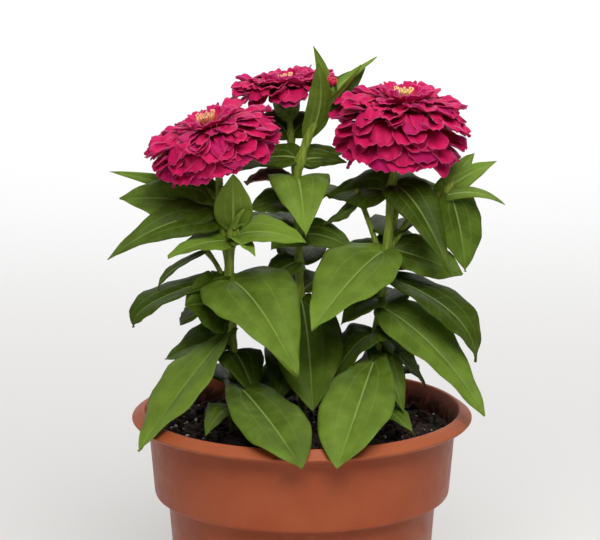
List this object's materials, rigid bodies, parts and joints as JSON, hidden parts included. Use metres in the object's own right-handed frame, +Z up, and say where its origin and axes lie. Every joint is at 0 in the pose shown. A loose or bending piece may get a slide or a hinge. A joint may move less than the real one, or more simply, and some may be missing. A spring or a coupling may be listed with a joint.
{
  "type": "potted zinnia",
  "caption": "Bushy potted zinnia with double blooms, an opening bud and arching leaves, in a flared ledge-banded nursery pot filled with soil.",
  "frame": {"origin": "centre of the pot's underside, on the surface it stands on", "axes": "+Z up along the pot's axis, -Y towards the front of the plant, +X to its right seen from the front"},
  "size_m": [0.218, 0.196, 0.3507],
  "materials": {
    "pot_plastic": "terracotta-coloured moulded plastic, satin",
    "potting_soil": "dark loose potting mix with pale perlite",
    "zinnia_leaf": "mid green, finely hairy, pale midrib",
    "petal": "magenta-crimson, velvety, pale rim",
    "disc_floret": "yellow-orange, fuzzy",
    "bud_petal": "deep crimson, velvety",
    "dry_leaf": "brown-maroon, dry and curled"
  },
  "bodies": {
    "root": {"pot": "pot_plastic", "soil": "potting_soil", "left_plant": "zinnia_leaf", "middle_plant": "zinnia_leaf", "right_plant": "zinnia_leaf", "left_bloom_petals": "petal", "right_bloom_petals": "petal", "back_bloom_petals": "petal", "left_bloom_disc": "disc_floret", "right_bloom_disc": "disc_floret", "back_bloom_disc": "disc_floret", "bud_petals": "bud_petal", "withered_leaf": "dry_leaf"}
  },
  "joints": []
}
